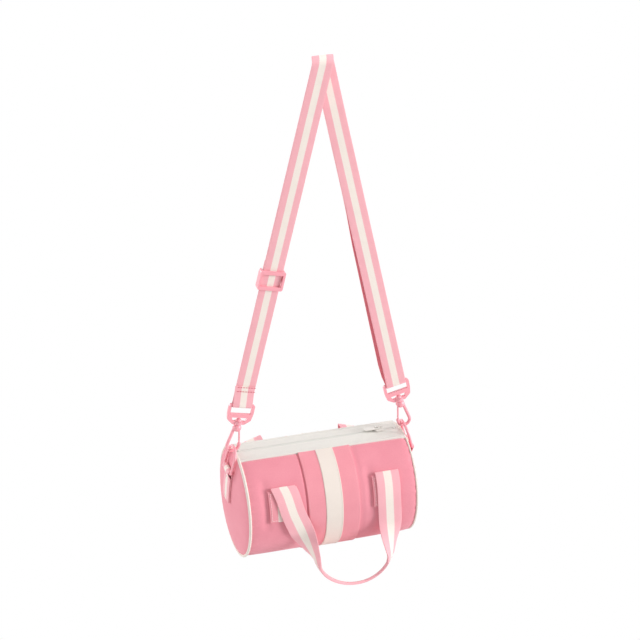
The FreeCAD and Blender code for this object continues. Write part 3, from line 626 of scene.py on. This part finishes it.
def handleLine(shape):
    # both legs joined at the bottom, as run, across, down and heading from the left fold
    left = handleHalf(handle["anchor"] + shape["shift"], shape["bends"][0], shape["drop"])
    right = handleHalf(handle["anchor"] - shape["shift"], shape["bends"][1], shape["drop"])
    length = left[0][-1] + right[0][-1]
    run = np.concatenate([left[0], (length - right[0])[::-1][1:]])
    across = np.concatenate([left[1] - handle["anchor"], (handle["anchor"] - right[1])[::-1][1:]])
    down = np.concatenate([left[2], right[2][::-1][1:]])
    turn = np.concatenate([left[3], (math.pi - right[3])[::-1][1:]])
    return run, length, across, down, turn


def handleTwist(shape, run, length):
    # how far the webbing turns on edge along the run; the given twists hold up to the last leg
    twist = handle["twist"] * smooth(np.minimum(run, length - run), handle["twistStart"], handle["twistRun"])
    if shape["twists"]:
        given = np.interp(run, list(shape["twists"]), np.radians(list(shape["twists"].values())))
        given = np.convolve(np.pad(given, 3, mode="edge"), np.ones(7) / 7, "valid")
        late = np.maximum(twist, given * (length - run > handle["lastLeg"]))
        twist = np.where(run < handle["givenTo"], given, late)
    return twist[:, None]


def handleSections(shape):
    # the line laid on a surface that leaves the fold, follows the barrel and then hangs straight down
    hinge, out, heading = shape["hinge"], shape["out"], shape["leaves"]
    run, length, across, down, turn = handleLine(shape)
    around = hinge + out
    curved = np.minimum(down, around * heading)
    fall = heading - curved / around
    y = -hinge * math.sin(shape["fold"]) - out * math.cos(heading) + around * (math.cos(heading) - np.cos(fall))
    z = barrel["height"] + hinge * math.cos(shape["fold"]) + out * math.sin(heading)
    z = z - around * (math.sin(heading) - np.sin(fall)) - (down - curved)
    centres = np.stack([across, y, z], -1)
    downwards = np.stack([0 * fall, -np.sin(fall), -np.cos(fall)], -1)
    outwards = np.stack([0 * fall, -np.cos(fall), np.sin(fall)], -1)
    twist = handleTwist(shape, run, length)
    facing = turn * np.minimum(run / handle["foldZone"], 1)
    facing = facing + (math.pi - turn) * (1 - np.minimum((length - run) / handle["foldZone"], 1))
    inwards = np.cos(facing)[:, None] * sideways - np.sin(facing)[:, None] * downwards
    halves = (inwards * np.cos(twist) + outwards * np.sin(twist)) * handle["width"] / 2
    halves = halves / np.cos(turn - facing)[:, None]
    return centres * shape["mirror"], halves * shape["mirror"]


def foldRoll(shape, anchor):
    # the webbing turning round its fold, from the handle's first section back over to the patch, lower if it is flat
    angle = shape["leaves"] + np.linspace(0, shape["around"], 24)
    y = -shape["hinge"] * math.sin(shape["fold"]) - shape["out"] * np.cos(angle)
    rise = shape["out"] * np.sin(angle)
    rise = np.where(rise > 0, rise * shape["flat"], rise)
    z = barrel["height"] + shape["hinge"] * math.cos(shape["fold"]) + rise
    centres = np.stack([np.full_like(angle, anchor), shape["side"] * y, z], -1)
    return centres, carried(handleHalfWidth, centres)


def makeHandle(name, shape, body, cadNode):
    # the roll at each fold and the loop between them, in one length of webbing, doubled at the grip; a roll may be
    # tilted, its inner end up, or have slid sideways from its patch
    first, last = foldRoll(shape, -handle["anchor"]), foldRoll(shape, handle["anchor"])
    centres, halves = joined((first[0][::-1][:-1], first[1][:-1]), handleSections(shape),
                             (last[0][1:], -last[1][1:]))
    run = runLength(centres)
    fromEnd = np.minimum(run, run[-1] - run)
    near = 1 - smooth(fromEnd, runLength(first[0])[-1], handle["foldZone"])[:, None]
    slide = np.where(run < run[-1] / 2, *shape["slides"])[:, None] * near
    tilt = shape["tilt"] * near
    centres = centres + slide * sideways
    halves = halves * np.cos(tilt) + upright * handle["width"] / 2 * np.sin(tilt)
    swell = 1 + handle["gripSwell"] * smooth(fromEnd, handle["gripStart"], handle["gripRun"])
    piece = webbing(name, (centres, halves), handle["thick"], handle["wave"], swell)
    dress(piece, body, "striped_webbing", handleCloth, cadNode)
    print(name, "webbing", round(float(runLength(centres)[-1])), "mm")


def makePatch(shape, faceName, sideName):
    # the sewn end of a handle, lying on the wrap below its fold, in webbing coloured darker than the handle as painted
    # shade from the fold above it
    place = shape["patches"][sideName]
    start = shape["fold"] + (shape["roll"] + handle["gap"]) / barrel["radius"]
    angle = np.linspace(start, shape["fold"] + handle["patch"] / barrel["radius"], 30)
    radius = wrapRadius(place, angle) + handle["thick"] / 2 + 0.05
    centres = onBarrel(place, radius, angle) * shape["mirror"]
    piece = webbing("handlePatch" + faceName + sideName, (centres, carried(handleHalfWidth, centres)), handle["thick"])
    cadNode = faceName.lower() + "_handle_patch_" + sideName.lower()
    dress(piece, "bag", "striped_webbing", shadedPatchCloth, cadNode)


makeHandle("frontHandle", frontHandle, "front_carry", "front_handle")
makeHandle("rearHandle", rearHandle, "rear_carry", "rear_handle")
for faceName, shape in handles.items():
    for sideName in ends:
        makePatch(shape, faceName, sideName)
print("handles made")


# Shoulder strap

strap = {"width": 25.0, "thick": 1.3, "foldBack": 25.5, "foldGap": 0.2, "foldSlip": 1.4, "tail": 24.0, "tailGap": 0.3,
         "adjuster": 226.0, "pin": 1.3, "clear": 0.1, "barHeight": 55.55, "barLoop": 2.7, "inner": 6.75, "outer": 8.25,
         "wave": 0.14, "step": 4.0}
# how far the rear layer has slipped sideways, by its share of the way from the rail to the right hook
slips = {0.4: 0.0, 0.45: 0.4, 0.5: 1.2, 0.55: 2.0, 0.75: 2.8, 0.93: 3.4, 0.97: 2.4}
crook = np.array([110.6, 0.0, -489.5])
lean = math.atan2(crook[0], -crook[2])
legUp = np.array([-math.sin(lean), 0, math.cos(lean)])
legOut = np.array([math.cos(lean), 0, math.sin(lean)])
flip = np.array([-1.0, 1.0, 1.0])
barRight = crook + legUp * strap["barHeight"]
barLeft = barRight * flip
upLeft = legUp * flip
acrossLeft = -legOut * flip


def barTurn(bar, up, across, start, end):
    # half a turn of webbing round a hook's bar: 0 behind it, pi in front
    angle = np.linspace(start, end, 24)[:, None]
    centres = bar + (behind * np.cos(angle) - up * np.sin(angle)) * strap["barLoop"]
    return centres, carried(across * strap["width"] / 2, centres)


def railTurn(radius, start, end):
    # half a turn over the rail, slanting from one leg to the other
    angle = np.linspace(start, end, 40)
    centres = np.stack([radius * (angle - math.pi / 2) * math.tan(lean), -radius * np.cos(angle),
                        radius * np.sin(angle)], -1)
    return centres, carried(sideways * strap["width"] / 2 / math.cos(lean), centres)


def one(centre, half):
    return np.array([centre]), np.array([half])


railOver = railTurn(strap["outer"], 0, math.pi)
railBack = railTurn(strap["inner"], math.pi, 0)
runningFoot = barLeft + behind * strap["barLoop"]
runningUp = unit(railOver[0][0] - runningFoot)
runningRear = unit(np.cross(runningUp, acrossLeft))
runningAcross = np.cross(runningRear, runningUp)
adjusterCentre = runningFoot + runningUp * (strap["adjuster"] - strap["barHeight"])
tailOffset = strap["thick"] + strap["tailGap"]
foldOffset = strap["thick"] + strap["foldGap"]


def makeStrap():
    # one length of webbing: sewn round the left bar, over the rail, down the right leg, where the rear layer has
    # slipped sideways, round the right bar and back to the adjuster
    half = strap["width"] / 2
    foldEnd = runningFoot + runningUp * strap["foldBack"] - runningRear * foldOffset - acrossLeft * strap["foldSlip"]
    share, slip = np.array(list(slips))[:, None], np.array(list(slips.values()))[:, None]
    low = barRight + behind * strap["barLoop"]
    slipped = (railOver[0][-1] * (1 - share) + low * share - legOut * slip,
               railOver[1][-1] * (1 - share) + legOut * half * share)
    main = joined(one(foldEnd, acrossLeft * half), barTurn(barLeft, upLeft, acrossLeft, math.pi, 0), railOver, slipped,
                  barTurn(barRight, legUp, legOut, 0, math.pi), railBack)
    main = spaced(main, strap["step"])
    piece = webbing("shoulderStrap", main, strap["thick"], strap["wave"])
    dress(piece, "strap", "striped_webbing", strapCloth, "shoulder_strap")
    returnEnd = adjusterCentre + runningUp * (strap["tail"] + strap["tailGap"]) + runningRear * tailOffset
    railEnd = one(railBack[0][-1], railBack[1][-1])
    returning = spaced(joined(railEnd, one(returnEnd, runningAcross * half)), strap["step"])
    spare = webbing("strapReturn", returning, strap["thick"])
    spare.data.materials.append(strapCloth)
    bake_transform(spare)
    print("strap webbing", round(float(runLength(main[0])[-1] + runLength(returning[0])[-1])), "mm")


def makeTail():
    # the strap's end, up behind the running layer, round the adjuster's pin and sewn back on itself
    turn = strap["pin"] + strap["clear"] + strap["thick"] / 2
    pin = tailOffset + turn
    sewn = tailOffset + strap["thick"] + strap["clear"]
    angle = np.linspace(0, math.pi, 24)
    y = np.concatenate([[tailOffset, tailOffset], pin - turn * np.cos(angle), [sewn, sewn]])
    z = np.concatenate([[strap["tail"], 8.0], -turn * np.sin(angle), [strap["tail"] / 2, strap["tail"]]])
    centres = adjusterCentre + y[:, None] * runningRear + z[:, None] * runningUp
    halves = carried(runningAcross * strap["width"] / 2, centres)
    piece = webbing("strapTail", spaced((centres, halves), strap["step"] / 2), strap["thick"])
    dress(piece, "strap_slider", "striped_webbing", strapCloth, "strap_tail")


makeStrap()
makeTail()
print("strap made")


# Ring tabs

tab = {"width": 25.0, "length": 42.0, "sewn": 9.0, "bar": 48.0, "wire": 3.5, "gap": 0.1, "wireGap": 0.3}
domeRim = barrel["radius"] - endShape["inset"]
domeRadius = (domeRim ** 2 + endShape["bulge"] ** 2) / (2 * endShape["bulge"])
domeX = endShape["rimX"] + endShape["bulge"] - domeRadius
tabRadius = domeRadius + tab["gap"] + strap["thick"] / 2
ringTurn = tab["wire"] / 2 + tab["wireGap"] + strap["thick"] / 2


def onDome(radius, angle):
    return np.stack([domeX + radius * np.cos(angle), 0 * angle, barrel["height"] + radius * np.sin(angle)], -1)


def tabAngle(below):
    # where the tab is so far below the ring's bar
    return math.asin((tab["bar"] - below) / tabRadius)


def makeTab(label, side):
    # up the end panel, over the ring's bar and down over itself
    barAngle = math.asin(tab["bar"] / (tabRadius + ringTurn))
    foot = tabAngle(tab["length"])
    bar = onDome(tabRadius + ringTurn, np.array([barAngle]))
    out = np.array([math.cos(barAngle), 0, math.sin(barAngle)])
    up = np.array([-math.sin(barAngle), 0, math.cos(barAngle)])
    angle = np.linspace(0, math.pi, 24)[:, None]
    over = bar + (up * np.sin(angle) - out * np.cos(angle)) * ringTurn
    rise = onDome(tabRadius, np.linspace(foot, barAngle, 20, endpoint=False))
    leave = bar + out * ringTurn - up * tab["wire"] / 2
    fall = onDome(tabRadius + strap["thick"] + tab["gap"], np.linspace(tabAngle(tab["sewn"]), foot, 20))
    centres = np.concatenate([rise, over, leave, fall]) * np.array([side, 1.0, 1.0])
    halves = carried(behind * tab["width"] / 2, centres)
    piece = webbing("ringTab" + label, (centres, halves), strap["thick"])
    dress(piece, "bag", "striped_webbing", strapCloth, "dring_tab_" + label.lower())


for label, end in ends.items():
    makeTab(label, end["side"])
for name, node in nodes.items():
    if name.startswith(("hook", "gate", "dring_left", "dring_right", "strap_adjuster")):
        recoat(node, hardwareCoat)
print("hooks, rings and tabs made")


# Stitching

sewing = {"pitch": 3.4, "long": 2.6, "webbingReach": 11.2, "patchReach": 12.6, "patchTop": 4.0, "patchFoot": 2.2,
          "zipInset": 2.6, "zipReach": 103.0}


def sewnRow(points, normals):
    # evenly spaced places along a line on the cloth, with the thread's direction and the cloth's normal there
    run = runLength(points)
    at = np.arange(sewing["pitch"] / 2, run[-1], sewing["pitch"])
    along = sampled(at, run, np.gradient(points, axis=0))
    return sampled(at, run, points), unit(along), unit(sampled(at, run, normals))


def stitchShape(thick, stations=5, around=6):
    # a small rounded bar along X: rings that close towards both ends
    place = np.linspace(-1, 1, stations)[:, None]
    size = np.maximum(1 - np.abs(place) ** 4, 0.25) ** 0.5 * thick / 2
    turn = np.linspace(0, 2 * math.pi, around, endpoint=False)[None] + math.pi / around
    rings = np.broadcast_arrays(place * sewing["long"] / 2, size * np.cos(turn), size * np.sin(turn))
    return np.stack(rings, -1).reshape(-1, 3), ringFaces(stations, around, False)


def makeStitches(name, rows, body, material, slot, thick):
    # a copy of the stitch at each place, its own X, Y and Z laid along the row, across it and out of the cloth
    template, faces = stitchShape(thick)
    places, along, normal = (np.concatenate([row[part] for row in rows]) for part in range(3))
    axes = np.stack([along, np.cross(normal, along), normal], 1)
    points = places[:, None] + np.einsum("pk,nkd->npd", template, axes)
    shift = (np.arange(len(places)) * len(template))[:, None]
    allFaces = [copy for face in faces for copy in (np.asarray(face)[None] + shift).tolist()]
    dress(pieceFrom(name, points, allFaces, sharp=60), body, slot, material)
    print(name, len(places), "stitches")


def roundRow(x, lift):
    angle = np.linspace(zipFront + 0.02, zipRear - 0.02, 400)
    return sewnRow(onBarrel(x, wrapRadius(x, angle) + lift, angle), outwardOn(angle))


def zipRow(front):
    x = np.linspace(-sewing["zipReach"], sewing["zipReach"], 200)
    angle = front * (barrel["zipHalf"] + sewing["zipInset"] / barrel["radius"]) - barrel["zipLean"] + 0 * x
    return sewnRow(onBarrel(x, wrapRadius(x, angle) + 0.05, angle), outwardOn(angle))


def patchRows(shape, place):
    # a box of stitches just inside the patch's edges
    low = shape["fold"] + (shape["roll"] + sewing["patchTop"]) / barrel["radius"]
    high = shape["fold"] + (handle["patch"] - sewing["patchFoot"]) / barrel["radius"]
    left, right = place - sewing["patchReach"], place + sewing["patchReach"]
    rows = []
    for x0, x1, a0, a1 in ((left, left, low, high), (right, right, low, high), (left, right, high, high),
                           (left, right, low, low)):
        x, angle = np.linspace(x0, x1, 30), np.linspace(a0, a1, 30)
        points = onBarrel(x, wrapRadius(place, angle) + handle["thick"] + 0.1, angle)
        rows.append(sewnRow(points * shape["mirror"], outwardOn(angle) * shape["mirror"]))
    return rows


def strapRow(height):
    # across the doubled webbing above the left hook
    across = np.linspace(-sewing["webbingReach"], sewing["webbingReach"], 20)[:, None]
    apart = foldOffset + (1 - height / strap["foldBack"]) * (2 * strap["barLoop"] - foldOffset)
    lift = apart + strap["thick"] / 2 + 0.1
    points = runningFoot + runningUp * height - runningRear * lift + across * runningAcross
    return sewnRow(points, carried(-runningRear, points))


def tabRow(side, below):
    # across a ring tab, through both its layers
    across = np.linspace(-sewing["webbingReach"], sewing["webbingReach"], 20)
    angle = tabAngle(below) + 0 * across
    points = onDome(tabRadius + strap["thick"] * 1.5 + 0.15, angle) * np.array([side, 1.0, 1.0])
    points[:, 1] = across
    return sewnRow(points, np.stack([side * np.cos(angle), 0 * angle, np.sin(angle)], -1))


bagRows = [roundRow(x, 1.0) for x in (-31.4, 31.4)] + [zipRow(1), zipRow(-1)]
bagRows += [tabRow(end["side"], below) for end in ends.values() for below in (11.0, 39.0)]
patchBoxes = [row for shape in handles.values() for place in shape["patches"].values()
              for row in patchRows(shape, place)]
stripeRows = [roundRow(x, 1.45) for x in (-9.9, 9.9)]
strapRows = [strapRow(height) for height in (24.4, 19.2)]
makeStitches("bagStitches", bagRows, "bag", threadPink, "body_fabric", 0.55)
makeStitches("patchStitches", patchBoxes, "bag", threadPale, "striped_webbing", 0.9)
makeStitches("stripeStitches", stripeRows, "bag", threadCream, "cream_webbing", 0.55)
makeStitches("strapStitches", strapRows, "strap", threadDeep, "striped_webbing", 1.0)


# Camera, light and backdrop

view = {"distance": 3000.0, "yaw": 17.28, "up": 28.05, "roll": 0.53, "px": (318.6, 487.8), "focal": 2395.0,
        "picture": 640, "sensor": 36.0}
lamps = {
    "key": {"at": (4.9, -2.5, 0.85), "size": 2.0, "power": 300.0},
    "fill": {"at": (-2.4, -0.1, -0.6), "size": 1.6, "power": 20.0},
    "low": {"at": (-0.6, -1.7, -1.9), "size": 1.6, "power": 11.5},
    "top": {"at": (0.2, 0.2, 1.6), "size": 1.6, "power": 20.0},
    "rear": {"at": (-2.0, 2.8, 0.1), "size": 1.6, "power": 50.0},
}
lampTarget = np.array([0, 0, -0.45])
backdrop = {"soft": (1, 0.985, 0.975, 1), "strength": 0.4, "floor": 0.9, "floorHeight": -2.2}


def placed(name, data, right, above, back, place):
    # an object that looks along minus its third axis
    thing = bpy.data.objects.new(name, data)
    turn = np.eye(4)
    turn[:3] = np.stack([right, above, back, place], -1)
    thing.matrix_world = Matrix(turn.tolist())
    bpy.context.scene.collection.objects.link(thing)
    return thing


def makeCamera():
    # placed so that the barrel's middle falls on its pixel in the picture
    yaw, up, roll = (math.radians(view[key]) for key in ("yaw", "up", "roll"))
    ahead = np.array([math.sin(yaw) * math.cos(up), math.cos(yaw) * math.cos(up), -math.sin(up)])
    level = np.array([math.cos(yaw), -math.sin(yaw), 0])
    over = np.cross(level, ahead)
    right = level * math.cos(roll) + over * math.sin(roll)
    above = over * math.cos(roll) - level * math.sin(roll)
    offX, offY = ((value - view["picture"] / 2) / view["focal"] * view["distance"] for value in view["px"])
    place = np.array([0, 0, barrel["height"]]) - right * offX + above * offY - ahead * view["distance"]
    lens = bpy.data.cameras.new("camera")
    lens.sensor_width = view["sensor"]
    lens.lens = view["focal"] / view["picture"] * view["sensor"]
    lens.clip_start, lens.clip_end = 0.05, 50
    bpy.context.scene.camera = placed("camera", lens, right, above, -ahead, place * metres)


def makeLamps():
    for name, lamp in lamps.items():
        data = bpy.data.lights.new(name, "AREA")
        data.energy, data.size = lamp["power"], lamp["size"]
        place = np.array(lamp["at"])
        back = unit(place - lampTarget)
        right = unit(np.cross(upright, back))
        placed(name, data, right, np.cross(back, right), back, place)


def makeWorld():
    # white where it is seen, soft where it lights
    world = bpy.data.worlds.new("studio")
    bpy.context.scene.world = world
    world.use_nodes = True
    tree = world.node_tree
    soft = tree.nodes["Background"]
    soft.inputs["Color"].default_value = backdrop["soft"]
    soft.inputs["Strength"].default_value = backdrop["strength"]
    white = tree.nodes.new("ShaderNodeBackground")
    white.inputs["Color"].default_value = (1, 1, 1, 1)
    mix = tree.nodes.new("ShaderNodeMixShader")
    path = tree.nodes.new("ShaderNodeLightPath").outputs
    shown = calc(tree, "MAXIMUM", path["Is Camera Ray"], path["Is Glossy Ray"])
    tree.links.new(calc(tree, "MAXIMUM", shown, path["Is Transmission Ray"]), mix.inputs[0])
    tree.links.new(soft.outputs[0], mix.inputs[1])
    tree.links.new(white.outputs[0], mix.inputs[2])
    tree.links.new(mix.outputs[0], tree.nodes["World Output"].inputs["Surface"])


def makeFloor():
    # a pale floor far below the hanging bag, out of the picture
    corners = [[x * backdrop["floor"], y * backdrop["floor"], backdrop["floorHeight"]]
               for x, y in ((-1, -1), (1, -1), (1, 1), (-1, 1))]
    mesh = bpy.data.meshes.new("floor")
    mesh.from_pydata(corners, [], [[0, 1, 2, 3]])
    material, tree, shader = startMaterial("paleFloor", 0.9)
    shader.inputs["Base Color"].default_value = (0.86, 0.86, 0.86, 1)
    mesh.materials.append(material)
    floor = bpy.data.objects.new("floor", mesh)
    bpy.context.scene.collection.objects.link(floor)


makeCamera()
makeLamps()
makeWorld()
makeFloor()
bpy.context.scene.view_settings.view_transform = "Standard"
